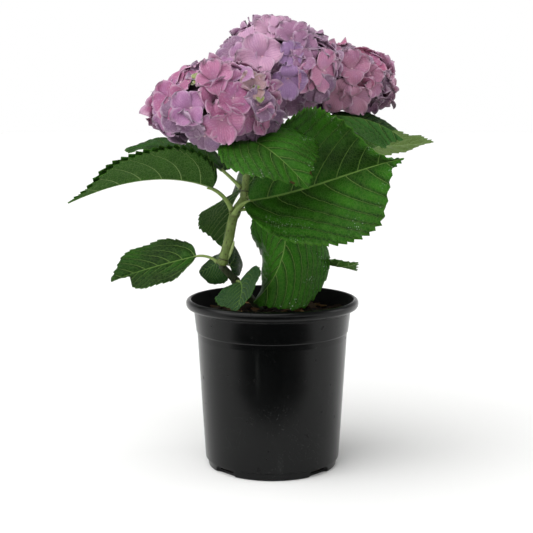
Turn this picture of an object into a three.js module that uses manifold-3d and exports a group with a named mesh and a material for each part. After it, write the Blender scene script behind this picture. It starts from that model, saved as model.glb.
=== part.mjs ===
// A potted mophead hydrangea: one leaning stem with three flower heads, broad toothed leaves in
// pairs, and a plain nursery pot filled with bark compost.
// Millimetres, +Z up. The pot stands on z = 0 with its axis on the Z axis, and -Y is the front.
import * as THREE from 'three';
import Module from 'manifold-3d';

const wasm = await Module();
wasm.setup();

const gap = 0.3; // between neighbouring solids
const rad = THREE.MathUtils.degToRad;
const vec = (x, y, z) => new THREE.Vector3(x, y, z);

const pot = {
  segments: 40,
  wall: 1.7,
  floor: 2.4,
  footRadius: 62.0,
  footHeight: 7.2,
  bodyRadius: 64.6, // just above the foot
  bandRadius: 72.1, // under the collar
  bandHeight: 130.7,
  neckRadius: 75.1, // under the rim
  neckHeight: 150.4,
  rimRadius: 82.5,
  rimHeight: 158.4,
  crestRadius: 77.6,
  height: 161.8,
  drainWidth: 20,
  drainHeight: 6.5,
  drainAngles: [-134, -46, 46, 134], // from the front
};

const soil = { top: 147.4, dome: 2.2, edge: 145.6, rings: 5 };

// A limb runs through its points and tapers from one radius to the other.
const limbs = {
  trunk: { through: [[-8, 22, 141], [-28, 1, 170], [-49, -12.6, 195.5]], radius: [3.7, 3.2] },
  stem: {
    through: [[-48, -12, 194], [-41, -12, 219], [-35.5, -10, 243], [-26, -6, 259], [-24, -3, 277],
      [-21, 0, 292]],
    radius: [4.6, 4.0],
  },
  leftBough: { through: [[-21, 0, 288], [-23, -1, 303], [-34, -27, 320], [-45, -51, 331]], radius: [3.8, 3.2] },
  middleBough: { through: [[-21, 0, 288], [-15, 5, 304], [-6, 12, 322], [2, 21, 355]], radius: [3.8, 3.2] },
  rightBough: { through: [[-21, 1, 288], [-2, 14, 302], [28, 42, 318], [65, 84, 350]], radius: [3.6, 3.1] },
};

// Each leaf leaves its limb at a share of the limb's length. heading turns from +X towards +Y and
// rise is its slope there. The stalk bends, the blade rolls over, droops, sweeps aside and twists,
// and its two halves fold up from the midrib and curl.
const leaves = {
  leaf_upper_left: { on: 'stem', at: 0.515, heading: 222, rise: 61, stalk: 32, bend: -41, roll: -17,
    droop: -47, sweep: 10, twist: -36, length: 148, width: 63, foldLeft: 75, foldRight: 74, curl: -4 },
  leaf_large_right: { on: 'stem', at: 0.48, heading: -12, rise: 70, stalk: 21, bend: -61, roll: 34,
    droop: 45, sweep: -6, twist: 86, length: 159, width: 137, foldLeft: 28, foldRight: 30, curl: 18 },
  leaf_back_left: { on: 'stem', at: 0.76, heading: 149, rise: 40, stalk: 26, bend: -5, roll: 8,
    droop: -54, sweep: 2, twist: -23, length: 121, width: 84, foldLeft: 10, foldRight: 8, curl: 26 },
  leaf_hanging: { on: 'stem', at: 0.68, heading: -19, rise: 52, stalk: 38, bend: -122, roll: 52,
    droop: 12, sweep: -70, twist: 70, length: 102, width: 103, foldLeft: -23, foldRight: -28, curl: 42 },
  leaf_behind_stem: { on: 'stem', at: 0.74, heading: 112, rise: 17, stalk: 5, bend: -30, roll: -29,
    droop: -83, sweep: 56, twist: 18, length: 75, width: 83, foldLeft: 3, foldRight: 47, curl: 9 },
  leaf_low_right: { on: 'stem', at: 0.64, heading: 40, rise: -6, stalk: 34, bend: -14, roll: 0,
    droop: -34, sweep: -28, twist: 0, length: 111, width: 62, foldLeft: 10, foldRight: 10, curl: 15 },
  leaf_front: { on: 'stem', at: 0.93, heading: -90, rise: 65, stalk: 32, bend: -45, roll: 21,
    droop: -93, sweep: 43, twist: -8, length: 118, width: 98, foldLeft: 14, foldRight: 22, curl: 42 },
  leaf_upper_right: { on: 'rightBough', at: 0.15, heading: 10, rise: 53, stalk: 44, bend: -33, roll: -20,
    droop: -61, sweep: -6, twist: 50, length: 105, width: 99, foldLeft: -74, foldRight: -32, curl: -36 },
  leaf_back: { on: 'middleBough', at: 0.38, heading: 112, rise: 50, stalk: 27, bend: -12, roll: 0,
    droop: -92, sweep: 0, twist: 0, length: 123, width: 92, foldLeft: 12, foldRight: 12, curl: 15 },
  leaf_back_right: { on: 'stem', at: 0.91, heading: 75, rise: 20, stalk: 28, bend: -9, roll: 0,
    droop: -51, sweep: 0, twist: 0, length: 116, width: 90, foldLeft: 12, foldRight: 12, curl: 15 },
  leaf_pale_tip: { on: 'rightBough', at: 0.46, heading: 24, rise: -11, stalk: 40, bend: 8, roll: -34,
    droop: 1, sweep: -15, twist: 11, length: 107, width: 59, foldLeft: 10, foldRight: 10, curl: 25 },
  leaf_far_right: { on: 'rightBough', at: 0.63, heading: 24, rise: 12, stalk: 22, bend: -2, roll: 12,
    droop: -32, sweep: -1, twist: 10, length: 78, width: 50, foldLeft: 17, foldRight: 8, curl: 13 },
  leaf_lower_left: { on: 'stem', at: 0.03, heading: 170, rise: 37, stalk: 22, bend: -51, roll: -35,
    droop: 14, sweep: 25, twist: -13, length: 84, width: 57, foldLeft: 19, foldRight: 23, curl: 25 },
  leaf_node_left: { on: 'stem', at: 0.06, heading: 113, rise: 1, stalk: 6, bend: -33, roll: -85,
    droop: 39, sweep: -2, twist: 4, length: 34, width: 40, foldLeft: -23, foldRight: -15, curl: 37 },
  leaf_node_back: { on: 'stem', at: 0.03, heading: 56, rise: -47, stalk: 6, bend: 64, roll: 90,
    droop: -58, sweep: 50, twist: -9, length: 34, width: 39, foldLeft: -11, foldRight: 13, curl: 27 },
  leaf_over_rim: { on: 'trunk', at: 0.7, heading: -78, rise: 16, stalk: 12, bend: -17, roll: 30,
    droop: -26, sweep: -46, twist: -2, length: 53, width: 51, foldLeft: 22, foldRight: 7, curl: 1 },
};
const leafThickness = 1.7;
const stalkSteps = 4;
const bladeSteps = 24;
const bladeStations = [1, 3, 6, 9, 12, 15, 18, 20, 22, 23];

// A flower head is an egg-shaped mass of four-lobed florets set on a smaller core.
const heads = {
  bloom_left: { centre: [-49.5, -57, 344.5], reach: [56, 50, 37], florets: 30, turn: 0.2, bough: 'leftBough' },
  bloom_middle: { centre: [5, 25, 383.5], reach: [62, 55, 43], florets: 36, turn: 1.3, bough: 'middleBough' },
  bloom_right: { centre: [75, 95, 370], reach: [49, 46, 35], florets: 26, turn: 2.6, bough: 'rightBough' },
};
const floret = { radius: 18, notch: 12, lift: 2, dip: 2, root: 12, core: 0.82, seat: 0.88, lowest: -0.4 };

function material(color, roughness, metalness = 0) {
  return new THREE.MeshStandardMaterial({ color, roughness, metalness });
}
const leafGreen = () => material(0x3f6a26, 0.55);
const finishes = {
  pot: material(0x101211, 0.42),
  soil: material(0x2b231b, 0.95),
  trunk: material(0x4a4a34, 0.85),
  stem: material(0x6f8150, 0.6),
  bloom_left: material(0xa8699a, 0.7),
  bloom_middle: material(0xa584b4, 0.7),
  bloom_right: material(0x9c6484, 0.7),
};

// Solids

function solidFrom(positions, triangles) {
  return new wasm.Manifold(new wasm.Mesh({
    numProp: 3,
    vertProperties: new Float32Array(positions),
    triVerts: new Uint32Array(triangles),
  }));
}

function geometryFrom(solid) {
  const mesh = solid.getMesh();
  const geometry = new THREE.BufferGeometry();
  geometry.setAttribute('position', new THREE.BufferAttribute(new Float32Array(mesh.vertProperties), 3));
  geometry.setIndex(new THREE.BufferAttribute(new Uint32Array(mesh.triVerts), 1));
  geometry.computeVertexNormals();
  return geometry;
}

// Rings of equal count, closed at each end by a fan to a point. On a blade the second half of each
// ring lies under the first, and its faces are split the same way, so the two sides stay apart.
function loft(rings, first, last, blade = false) {
  const positions = [];
  const triangles = [];
  const count = rings[0].length;
  for (const point of [...rings.flat(), first, last]) positions.push(point.x, point.y, point.z);
  const firstIndex = rings.length * count;
  for (let i = 0; i < rings.length - 1; i++) {
    for (let j = 0; j < count; j++) {
      const a = i * count + j;
      const b = i * count + ((j + 1) % count);
      if (blade && j >= count / 2) triangles.push(a, b, a + count, b, b + count, a + count);
      else triangles.push(a, b, b + count, a, b + count, a + count);
    }
  }
  const end = (rings.length - 1) * count;
  for (let j = 0; j < count; j++) {
    const next = (j + 1) % count;
    triangles.push(firstIndex, next, j, firstIndex + 1, end + j, end + next);
  }
  return solidFrom(positions, triangles);
}

function limbCurve({ through }) {
  return new THREE.CatmullRomCurve3(through.map((point) => vec(...point)));
}

function limbSolid(limb, extra = 0, sides = 12) {
  const curve = limbCurve(limb);
  const steps = Math.max(4, Math.round(curve.getLength() / 11));
  const { normals, binormals } = curve.computeFrenetFrames(steps, false);
  const rings = [];
  for (let i = 0; i <= steps; i++) {
    const centre = curve.getPointAt(i / steps);
    if (i === 0) centre.addScaledVector(curve.getTangentAt(0), -extra);
    if (i === steps) centre.addScaledVector(curve.getTangentAt(1), extra);
    const radius = THREE.MathUtils.lerp(...limb.radius, i / steps) + extra;
    const ring = [];
    for (let j = 0; j < sides; j++) {
      const angle = (2 * Math.PI * j) / sides;
      ring.push(centre.clone()
        .addScaledVector(normals[i], radius * Math.cos(angle))
        .addScaledVector(binormals[i], radius * Math.sin(angle)));
    }
    rings.push(ring);
  }
  const start = curve.getPointAt(0).addScaledVector(curve.getTangentAt(0), -extra);
  const end = curve.getPointAt(1).addScaledVector(curve.getTangentAt(1), extra);
  return loft(rings, start, end);
}

// The trunk is cut square to the stem that stands on it.
function trunkSolid() {
  const curve = limbCurve(limbs.stem);
  const axis = curve.getTangentAt(0).negate();
  const seat = curve.getPointAt(0).addScaledVector(axis, gap);
  return limbSolid(limbs.trunk).trimByPlane(axis.toArray(), axis.dot(seat));
}

// Pot and soil

// Above the step over the foot.
function potInnerRadius(z) {
  const { wall, bodyRadius, bandRadius, bandHeight, footHeight } = pot;
  return THREE.MathUtils.mapLinear(z, footHeight, bandHeight, bodyRadius, bandRadius) - wall;
}

function potSolid() {
  const p = pot;
  const profile = [
    [0, 0], [p.footRadius, 0], [p.footRadius + 0.9, p.footHeight - 0.3], [p.bodyRadius, p.footHeight + 0.5],
    [p.bandRadius, p.bandHeight - 0.4], [p.bandRadius + 0.7, p.bandHeight + 0.4],
    [p.neckRadius, p.neckHeight], [p.neckRadius + 1.5, p.neckHeight + 1.2],
    [p.rimRadius - 2, p.rimHeight - 5], [p.rimRadius - 0.3, p.rimHeight - 2], [p.rimRadius, p.rimHeight],
    [p.rimRadius - 0.9, p.rimHeight + 2.3], [p.rimRadius - 3, p.height], [p.crestRadius, p.height - 0.5],
    [p.crestRadius - 1.6, p.rimHeight - 2], [p.neckRadius - p.wall, p.neckHeight],
    [potInnerRadius(p.footHeight + 5), p.footHeight + 5], [p.footRadius + 0.7 - p.wall, p.footHeight - 0.7],
    [p.footRadius - 3, p.floor], [0, p.floor],
  ].map(([r, z]) => new THREE.Vector2(r, z));
  const rings = profile.slice(1, -1).map(({ x, y }) => {
    const ring = [];
    for (let j = 0; j < p.segments; j++) {
      const angle = (2 * Math.PI * (j + 0.5)) / p.segments;
      ring.push(vec(x * Math.cos(angle), x * Math.sin(angle), y));
    }
    return ring;
  });
  let solid = loft(rings, vec(0, 0, 0), vec(0, 0, p.floor));
  for (const angle of p.drainAngles) {
    const drain = wasm.Manifold.cube([10, p.drainWidth, 2 * p.drainHeight], true)
      .translate([p.footRadius + 1, 0, 0])
      .rotate([0, 0, angle - 90]);
    solid = solid.subtract(drain);
  }
  return solid;
}

function soilSolid() {
  const sides = pot.segments;
  const bottom = pot.floor + gap;
  const outer = (z) => potInnerRadius(z) - 0.5;
  const rings = [];
  const addRing = (radius, height) => {
    const ring = [];
    for (let j = 0; j < sides; j++) {
      const angle = (2 * Math.PI * (j + 0.5)) / sides;
      ring.push(vec(radius * Math.cos(angle), radius * Math.sin(angle), height(angle)));
    }
    rings.push(ring);
  };
  addRing(pot.footRadius - 4.5, () => bottom);
  addRing(pot.footRadius - 1.6, () => pot.footHeight + 0.5);
  addRing(outer(pot.footHeight + 7), () => pot.footHeight + 7);
  addRing(outer(soil.edge - 3), () => soil.edge - 1.5);
  for (let i = 1; i < soil.rings; i++) {
    const share = 1 - i / soil.rings;
    const lumps = (angle) => 0.9 * Math.sin(3 * angle + i) + 0.6 * Math.sin(7 * angle + 2 * i);
    addRing(outer(soil.edge) * share, (angle) => soil.top - soil.dome * share * share + lumps(angle));
  }
  return loft(rings, vec(0, 0, bottom), vec(0, 0, soil.top))
    .subtract(limbSolid(limbs.trunk, gap));
}

// Leaves

// Share of the full width at a share u of the blade: blunt at the base, drawn out at the tip.
function bladeShare(u) {
  const peak = 0.62 / 1.42;
  const egg = (s) => s ** 0.62 * (1 - s) ** 0.8;
  return (egg(u) / egg(peak)) * (1 - 0.38 * Math.exp(-(((u - 0.94) / 0.055) ** 2)));
}

function turn(a, b, angle) {
  const c = Math.cos(angle);
  const s = Math.sin(angle);
  const first = a.clone().multiplyScalar(c).addScaledVector(b, s);
  b.multiplyScalar(c).addScaledVector(a, -s);
  a.copy(first);
}

// The frames along a leaf: along is the way it grows, side its left, up its upper face.
function leafFrames(leaf) {
  const limb = limbs[leaf.on];
  const curve = limbCurve(limb);
  const axis = curve.getTangentAt(leaf.at);
  const limbRadius = THREE.MathUtils.lerp(...limb.radius, leaf.at);
  const stalkRadius = 0.8 + 0.01 * leaf.length;
  const heading = rad(leaf.heading);
  const rise = rad(leaf.rise);
  const along = vec(Math.cos(rise) * Math.cos(heading), Math.cos(rise) * Math.sin(heading), Math.sin(rise));
  const side = vec(-Math.sin(heading), Math.cos(heading), 0);
  const up = along.clone().cross(side);
  const outward = along.clone().addScaledVector(axis, -along.dot(axis));
  const lean = outward.length();
  outward.normalize();
  const reach = limbRadius + gap + stalkRadius * Math.sqrt(Math.max(0, 1 - lean * lean));
  const at = curve.getPointAt(leaf.at).addScaledVector(outward, reach);
  const note = () => ({ at: at.clone(), along: along.clone(), side: side.clone(), up: up.clone() });
  const stalk = [note()];
  const halfBend = rad(leaf.bend) / stalkSteps / 2;
  for (let i = 0; i < stalkSteps; i++) {
    turn(along, up, halfBend);
    at.addScaledVector(along, leaf.stalk / stalkSteps);
    turn(along, up, halfBend);
    stalk.push(note());
  }
  turn(side, up, rad(leaf.roll));
  const blade = [note()];
  for (let i = 0; i < bladeSteps; i++) {
    for (const half of [0, 1]) {
      turn(along, up, rad(leaf.droop) / bladeSteps / 2);
      turn(along, side, rad(leaf.sweep) / bladeSteps / 2);
      turn(side, up, rad(leaf.twist) / bladeSteps / 2);
      if (half === 0) at.addScaledVector(along, leaf.length / bladeSteps);
    }
    blade.push(note());
  }
  return { stalk, blade, stalkRadius };
}

// A point of the blade at share u and across it, from -1 at the right margin to 1 at the left,
// raised from its middle surface.
function bladePoint(leaf, frame, u, across, raised) {
  const distance = Math.abs(across) * bladeShare(u) * leaf.width / 2;
  const fold = rad(across > 0 ? leaf.foldLeft : leaf.foldRight);
  const bend = rad(leaf.curl || 0.01) / (leaf.width / 2);
  const angle = fold - bend * distance;
  const out = (Math.sin(fold) - Math.sin(angle)) / bend;
  const rise = (Math.cos(angle) - Math.cos(fold)) / bend;
  const sign = Math.sign(across);
  const forward = distance * (0.25 * u - 0.28 * (1 - u) ** 3);
  return frame.at.clone()
    .addScaledVector(frame.side, sign * (out - raised * Math.sin(angle)))
    .addScaledVector(frame.up, rise + raised * Math.cos(angle))
    .addScaledVector(frame.along, forward);
}

function leafSolid(leaf) {
  const { stalk, blade, stalkRadius } = leafFrames(leaf);
  const half = leafThickness / 2;
  const rings = stalk.map((frame, i) => {
    const radius = stalkRadius * (1 - (0.25 * i) / stalkSteps);
    turn(frame.side, frame.up, (rad(leaf.roll) * i) / stalkSteps);
    const ring = [];
    for (let j = 0; j < 10; j++) {
      const angle = rad(162 - 36 * j);
      ring.push(frame.at.clone()
        .addScaledVector(frame.side, -radius * Math.cos(angle))
        .addScaledVector(frame.up, radius * Math.sin(angle)));
    }
    return ring;
  });
  const middleFold = rad((leaf.foldLeft + leaf.foldRight) / 2);
  for (const station of bladeStations) {
    const u = station / bladeSteps;
    const frame = blade[station];
    const width = bladeShare(u) * leaf.width;
    const crease = Math.min(half / Math.cos(middleFold), 0.3 * width + 0.3);
    const tight = Math.min(half, (0.2 * width) / Math.abs(Math.tan(middleFold))); // in a steep fold
    const point = (across, raised) => bladePoint(leaf, frame, u, across, raised);
    const midrib = (raised) => frame.at.clone().addScaledVector(frame.up, raised);
    rings.push([
      point(1, half), point(0.5, tight), midrib(crease), point(-0.5, tight), point(-1, half),
      point(-1, -half), point(-0.5, -half), midrib(-crease - 1.2 * (1 - u)), point(0.5, -half), point(1, -half),
    ]);
  }
  return loft(rings, stalk[0].at, blade[bladeSteps].at, true);
}

// Flower heads

// An even spiral of directions over the head, from its crown down.
function spiral(count, turnBy) {
  const golden = Math.PI * (3 - Math.sqrt(5));
  return Array.from({ length: count }, (_, i) => {
    const z = 1 - (2 * (i + 0.5)) / count;
    const r = Math.sqrt(1 - z * z);
    return vec(r * Math.cos(i * golden + turnBy), r * Math.sin(i * golden + turnBy), z);
  });
}

// A repeatable share from 0 to 1 for a floret.
function chance(i, salt) {
  const value = Math.sin(i * 12.9898 + salt * 78.233) * 43758.5453;
  return value - Math.floor(value);
}

function floretSolid(seat, normal, spin, size) {
  const side = vec(0, 0, 1).cross(normal).normalize();
  const up = normal.clone().cross(side);
  const place = (radius, angle, height) => seat.clone()
    .addScaledVector(side, size * radius * Math.cos(angle))
    .addScaledVector(up, size * radius * Math.sin(angle))
    .addScaledVector(normal, height);
  const rim = [];
  for (let j = 0; j < 8; j++) {
    const lobe = j % 2 === 0;
    rim.push(place(lobe ? floret.radius : floret.notch, spin + (Math.PI * j) / 4, lobe ? floret.lift : 0));
  }
  const positions = [...rim, place(0, 0, -floret.dip), place(0, 0, -floret.root)].flatMap((p) => p.toArray());
  const triangles = [];
  for (let j = 0; j < 8; j++) {
    const next = (j + 1) % 8;
    triangles.push(j, next, 8, next, j, 9);
  }
  return solidFrom(positions, triangles);
}

function headSolid(head) {
  const centre = vec(...head.centre);
  const reach = vec(...head.reach);
  const core = wasm.Manifold.sphere(1, 20)
    .scale(head.reach.map((r) => r * floret.core))
    .translate(head.centre);
  const solids = [core];
  spiral(head.florets, head.turn).forEach((direction, i) => {
    if (direction.z < floret.lowest) return;
    const normal = direction.clone().divide(reach).normalize();
    const seat = centre.clone().add(direction.clone().multiply(reach).multiplyScalar(floret.seat));
    solids.push(floretSolid(seat, normal, 2 * Math.PI * chance(i, head.turn), 0.88 + 0.24 * chance(i, 5)));
  });
  let solid = wasm.Manifold.union(solids);
  for (const other of Object.values(heads)) {
    if (other === head) continue;
    const away = vec(...other.centre).sub(centre);
    const share = support(head, away) / (support(head, away) + support(other, away));
    const border = centre.clone().addScaledVector(away, share);
    away.normalize().negate();
    solid = solid.trimByPlane(away.toArray(), border.dot(away) + gap / 2);
  }
  return solid.subtract(limbSolid(limbs[head.bough], gap));
}

// How far the head reaches along a direction.
function support(head, direction) {
  return vec(...head.reach).multiply(direction.clone().normalize()).length();
}

// The plant in its pot

const stemSolid = wasm.Manifold.union(
  [limbs.stem, limbs.leftBough, limbs.middleBough, limbs.rightBough].map((limb) => limbSolid(limb)),
);
const hydrangea = new THREE.Group();
hydrangea.name = 'potted_hydrangea';

function add(name, solid, finish) {
  const mesh = new THREE.Mesh(geometryFrom(solid), finish);
  mesh.name = name;
  hydrangea.add(mesh);
}

add('pot', potSolid(), finishes.pot);
add('soil', soilSolid(), finishes.soil);
add('trunk', trunkSolid(), finishes.trunk);
add('stem', stemSolid, finishes.stem);
for (const [name, leaf] of Object.entries(leaves)) add(name, leafSolid(leaf), leafGreen());
for (const [name, head] of Object.entries(heads)) add(name, headSolid(head), finishes[name]);

export default hydrangea;
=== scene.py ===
# A potted mophead hydrangea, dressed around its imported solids.
# Metres, +Z up, with the pot's axis on Z and the plant's front towards -Y. The tables are in millimetres.
from math import cos, exp, floor, hypot, pi, radians, sin, sqrt
import bpy
import numpy as np
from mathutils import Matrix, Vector, noise


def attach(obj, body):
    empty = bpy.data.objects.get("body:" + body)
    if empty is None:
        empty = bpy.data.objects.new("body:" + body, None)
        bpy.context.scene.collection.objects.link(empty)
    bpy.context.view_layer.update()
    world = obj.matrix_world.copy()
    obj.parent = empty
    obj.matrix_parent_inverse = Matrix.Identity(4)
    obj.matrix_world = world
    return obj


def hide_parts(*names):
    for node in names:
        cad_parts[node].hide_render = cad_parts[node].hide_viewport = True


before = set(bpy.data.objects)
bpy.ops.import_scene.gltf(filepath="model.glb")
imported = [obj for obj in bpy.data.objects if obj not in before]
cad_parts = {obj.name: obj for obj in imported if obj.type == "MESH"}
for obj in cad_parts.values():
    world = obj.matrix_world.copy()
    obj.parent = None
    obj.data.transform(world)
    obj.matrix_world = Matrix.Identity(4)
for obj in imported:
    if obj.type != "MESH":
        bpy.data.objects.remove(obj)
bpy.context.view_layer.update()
mm = 0.001


def chance(i, salt):
    # A repeatable share from 0 to 1.
    value = sin(i * 12.9898 + salt * 78.233) * 43758.5453
    return value - floor(value)


def swing(i, salt):
    return 2 * chance(i, salt) - 1


def unit(vector):
    return vector / max(np.linalg.norm(vector), 1e-9)


def lerp(a, b, share):
    return a + (b - a) * share


def smooth(low, high, value):
    t = min(1, max(0, (value - low) / (high - low)))
    return t * t * (3 - 2 * t)


def bell(value, centre, span):
    return exp(-((value - centre) / span) ** 2)


def pointing(turn, climb):
    # The direction at a turn from +X and a climb over the floor.
    return np.array((cos(climb) * cos(turn), cos(climb) * sin(turn), sin(climb)))


def linear(hexColour):
    # Screen colour, as RRGGBB, to the light values that the shader takes.
    parts = [int(hexColour[i:i + 2], 16) / 255 for i in (0, 2, 4)]
    return tuple(((c + 0.055) / 1.055) ** 2.4 if c > 0.04045 else c / 12.92 for c in parts) + (1,)


def addToScene(name, data):
    thing = bpy.data.objects.new(name, data)
    bpy.context.scene.collection.objects.link(thing)
    return thing


class Heap:
    # Points in millimetres and their faces, gathered for one joined piece.
    def __init__(self):
        self.points, self.faces, self.finishOf, self.maps, self.values = [], [], [], {}, {}

    def add(self, points, faces, finish=0, maps=None, values=None):
        # finish is one number, or one for each face; maps give a pair and values a number for each point
        base = len(self.points)
        self.points.extend(points)
        self.faces.extend(tuple(base + i for i in face) for face in faces)
        self.finishOf.extend([finish] * len(faces) if isinstance(finish, int) else finish)
        for key, pairs in (maps or {}).items():
            self.maps.setdefault(key, []).extend(pairs)
        for key, numbers in (values or {}).items():
            self.values.setdefault(key, []).extend(numbers)

    def make(self, name, finishes):
        mesh = bpy.data.meshes.new(name)
        mesh.from_pydata([tuple(p) for p in np.asarray(self.points) * mm], [], self.faces)
        for finish in finishes:
            mesh.materials.append(finish)
        mesh.polygons.foreach_set("material_index", self.finishOf)
        corners = np.zeros(len(mesh.loops), int)
        mesh.loops.foreach_get("vertex_index", corners)
        for key, pairs in self.maps.items():
            mesh.uv_layers.new(name=key).data.foreach_set("uv", np.asarray(pairs, float)[corners].ravel())
        for key, numbers in self.values.items():
            mesh.attributes.new(key, "FLOAT", "POINT").data.foreach_set("value", np.asarray(numbers, float))
        mesh.shade_smooth()
        mesh.update()
        return addToScene(name, mesh)


def tube(centres, radiusAt, sides):
    # A closed tube on a run of centres; radiusAt takes the ring's number and the way out.
    points, faces, last = [], [], len(centres) - 1
    side = np.array((0.3, 1, 0.2))
    for i, centre in enumerate(centres):
        along = unit(centres[min(i + 1, last)] - centres[max(i - 1, 0)])
        side = unit(side - along * np.dot(along, side))
        other = np.cross(along, side)
        for k in range(sides):
            angle = 2 * pi * k / sides
            out = cos(angle) * side + sin(angle) * other
            points.append(centre + out * radiusAt(i, out))
    for i in range(last):
        for k in range(sides):
            a, b = i * sides + k, i * sides + (k + 1) % sides
            faces.append((a, b, b + sides, a + sides))
    faces.append(tuple(reversed(range(sides))))
    faces.append(tuple(last * sides + k for k in range(sides)))
    return points, faces


def sheetFaces(rows, columns):
    # Two sheets of points, one over the other, and the rim that joins them, with the finish of each face.
    low = (rows + 1) * columns
    faces = []
    for i in range(rows):
        for j in range(columns - 1):
            a = i * columns + j
            faces += [(a, a + columns, a + columns + 1, a + 1),
                      (low + a, low + a + 1, low + a + columns + 1, low + a + columns)]
    ring = (list(range(columns)) + [i * columns + columns - 1 for i in range(1, rows + 1)]
            + [rows * columns + j for j in range(columns - 2, -1, -1)]
            + [i * columns for i in range(rows - 1, 0, -1)])
    rim = [(a, b, low + b, low + a) for a, b in zip(ring, ring[1:] + ring[:1])]
    return faces + rim, [0, 1] * (len(faces) // 2) + [0] * len(rim)


def dress(piece, slotName, *nodes):
    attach(piece, "root")
    if nodes:
        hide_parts(*nodes)


def deselectAll():
    if bpy.context.mode != "OBJECT":
        bpy.ops.object.mode_set(mode="OBJECT")
    bpy.ops.object.select_all(action="DESELECT")


def makeActive(piece):
    deselectAll()
    piece.select_set(True)
    bpy.context.view_layer.objects.active = piece


def wear(piece, finish):
    piece.data.materials.clear()
    piece.data.materials.append(finish)


def sharpen(piece, degrees):
    # Shades smooth but for the edges that turn by more than this.
    makeActive(piece)
    bpy.ops.object.shade_smooth_by_angle(angle=radians(degrees))


def applyModifier(piece, kind, **settings):
    makeActive(piece)
    modifier = piece.modifiers.new(kind.lower(), kind)
    for key, value in settings.items():
        setattr(modifier, key, value)
    bpy.ops.object.modifier_apply(modifier=modifier.name)


class Wire:
    # One socket of a tree of nodes, so that masks are written as plain sums.
    def __init__(self, nodes, socket):
        self.nodes, self.socket = nodes, socket

    def make(self, kind, settings, sockets):
        return self.nodes.out(self.nodes.node(kind, settings, sockets))

    def sum(self, operation, *others):
        return self.make("Math", {"operation": operation}, dict(enumerate((self,) + others)))

    def __add__(self, other): return self.sum("ADD", other)
    def __radd__(self, other): return self.sum("ADD", other)
    def __sub__(self, other): return self.sum("SUBTRACT", other)
    def __rsub__(self, other): return (self * -1).sum("ADD", other)
    def __mul__(self, other): return self.sum("MULTIPLY", other)
    def __rmul__(self, other): return self.sum("MULTIPLY", other)
    def __truediv__(self, other): return self.sum("DIVIDE", other)
    def size(self): return self.sum("ABSOLUTE")
    def frac(self): return self.sum("FRACT")
    def sine(self): return self.sum("SINE")
    def most(self, other): return self.sum("MAXIMUM", other)

    def ramp(self, low, high):
        # 0 below low, 1 above high, smooth between; low may lie above high
        ends = {"To Min": 1.0, "To Max": 0.0} if low > high else {}
        sockets = {"Value": self, "From Min": min(low, high), "From Max": max(low, high), **ends}
        return self.make("MapRange", {"interpolation_type": "SMOOTHSTEP", "clamp": True}, sockets)


class Nodes:
    # The nodes of a finish or of the room, joined by wires. A tone is written as RRGGBB.
    def __init__(self, tree):
        self.tree = tree

    def node(self, kind, settings=None, sockets=None):
        node = self.tree.nodes.new("ShaderNode" + kind)
        for key, value in (settings or {}).items():
            setattr(node, key, value)
        for key, value in (sockets or {}).items():
            self.put(node.inputs[key], value)
        return node

    def put(self, socket, value):
        if isinstance(value, Wire):
            self.tree.links.new(value.socket, socket)
        else:
            socket.default_value = linear(value) if isinstance(value, str) else value

    def out(self, node, key=0):
        return Wire(self, node.outputs[key])


class Finish(Nodes):
    def __init__(self, name, **shader):
        self.material = bpy.data.materials.new(name)
        self.material.use_nodes = True
        super().__init__(self.material.node_tree)
        self.shader = self.tree.nodes["Principled BSDF"]
        for key, value in shader.items():
            self.put(self.shader.inputs[key.replace("_", " ")], value)

    def place(self):
        return self.out(self.node("TexCoord"), "Object")

    def mapParts(self, name):
        parts = self.node("SeparateXYZ", None, {0: self.out(self.node("UVMap", {"uv_map": name}))})
        return self.out(parts, 0), self.out(parts, 1)

    def value(self, name):
        return self.out(self.node("Attribute", {"attribute_name": name}), "Fac")

    def noise(self, scale, detail=3.0, rough=0.5, stretch=None):
        where = self.place()
        if stretch:
            where = self.out(self.node("Mapping", None, {"Vector": where, "Scale": stretch}))
        sockets = {"Vector": where, "Scale": scale, "Detail": detail, "Roughness": rough}
        return self.out(self.node("TexNoise", None, sockets))

    def cells(self, scale, feature="DISTANCE_TO_EDGE"):
        node = self.node("TexVoronoi", {"feature": feature}, {"Vector": self.place(), "Scale": scale})
        return self.out(node, "Distance")

    def coats(self, colour, *layers):
        # Lays tones over a colour, each through its mask.
        for mask, tone in layers:
            node = self.node("Mix", {"data_type": "RGBA"}, {0: mask, 6: colour, 7: tone})
            colour = self.out(node, 2)
        return colour

    def paint(self, colour, rough=None, height=None, depth=0.0005, strength=1.0):
        self.put(self.shader.inputs["Base Color"], colour)
        if rough is not None:
            self.put(self.shader.inputs["Roughness"], rough)
        if height is not None:
            bump = self.node("Bump", None, {"Height": height, "Distance": depth, "Strength": strength})
            self.put(self.shader.inputs["Normal"], self.out(bump))
        return self.material


viewer = {"distance": 1.06, "height": 0.34, "pitch": 7.95, "turn": 0.0052, "lens": 75.65, "sensor": 36.0}
lamps = {
    # place, aimed at, size, watts
    "lampLeft": ((-1.9, -0.9, 0.9), (0, 0, 0.25), 1.0, 4),
    "lampRight": ((2.0, 0.2, 0.9), (0, 0, 0.25), 1.0, 6),
}
room = {
    # the soft light's direction, the cosines where it starts and is full, and its strength
    "key": (-0.42, -0.40, 0.82), "keySize": (0.62, 0.86), "keyLight": 2.2,
    "horizon": 1.0, "horizonTop": (0.32, 0.13), "shade": 0.28,
}
stageSizes = {
    "sides": 96, "inner": 0.6, "outer": 16.0, "rings": 6, "paper": "FBFBFA", "grain": "EFEFEE",
    "flagNear": -0.20, "flagFar": -1.7, "flagHalf": 0.42, "flagHeight": 0.003, "flag": ("050505", "0A0A0A"),
}

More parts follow.
